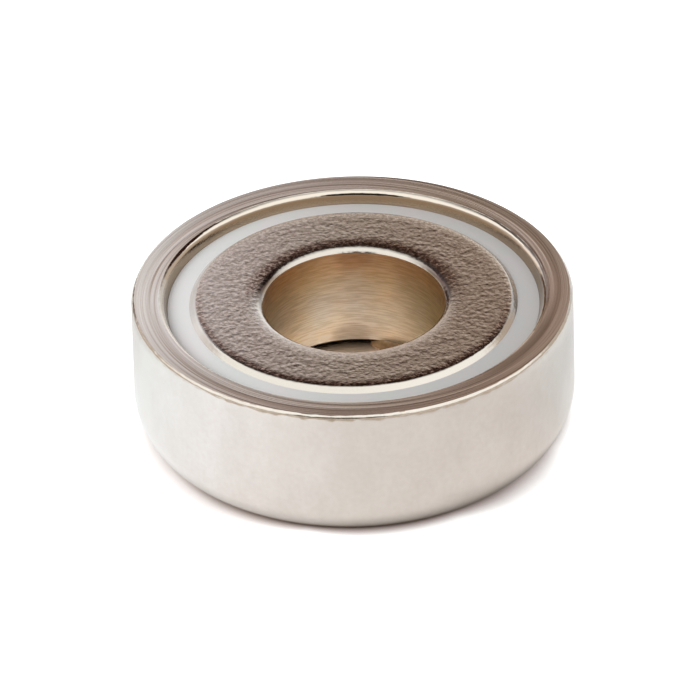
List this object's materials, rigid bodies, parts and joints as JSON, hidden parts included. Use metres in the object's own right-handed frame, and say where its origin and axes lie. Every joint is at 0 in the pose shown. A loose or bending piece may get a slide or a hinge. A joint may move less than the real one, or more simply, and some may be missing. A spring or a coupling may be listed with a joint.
{
  "type": "pot magnet",
  "caption": "Screw-on round pot magnet: a ring magnet centred by a plastic ring inside a steel cup whose rim and magnet face hold onto steel.",
  "frame": {"origin": "centre of the cup's flat back, on the axis that every piece is turned about", "axes": "+Z along the axis, out of the open holding face; X and Y lie in the back's plane and are interchangeable"},
  "size_m": [0.02, 0.02, 0.007],
  "materials": {
    "plated_steel": "satin nickel plate over drawn steel, with lathe marks on the rim's face",
    "plated_magnet": "matt nickel plate over sintered magnet material, finely granular, with bright rounded edges",
    "white_plastic": "matt, smooth, cool white"
  },
  "bodies": {
    "root": {"cup": "plated_steel", "ring_magnet": "plated_magnet", "spacer_ring": "white_plastic"}
  },
  "joints": []
}
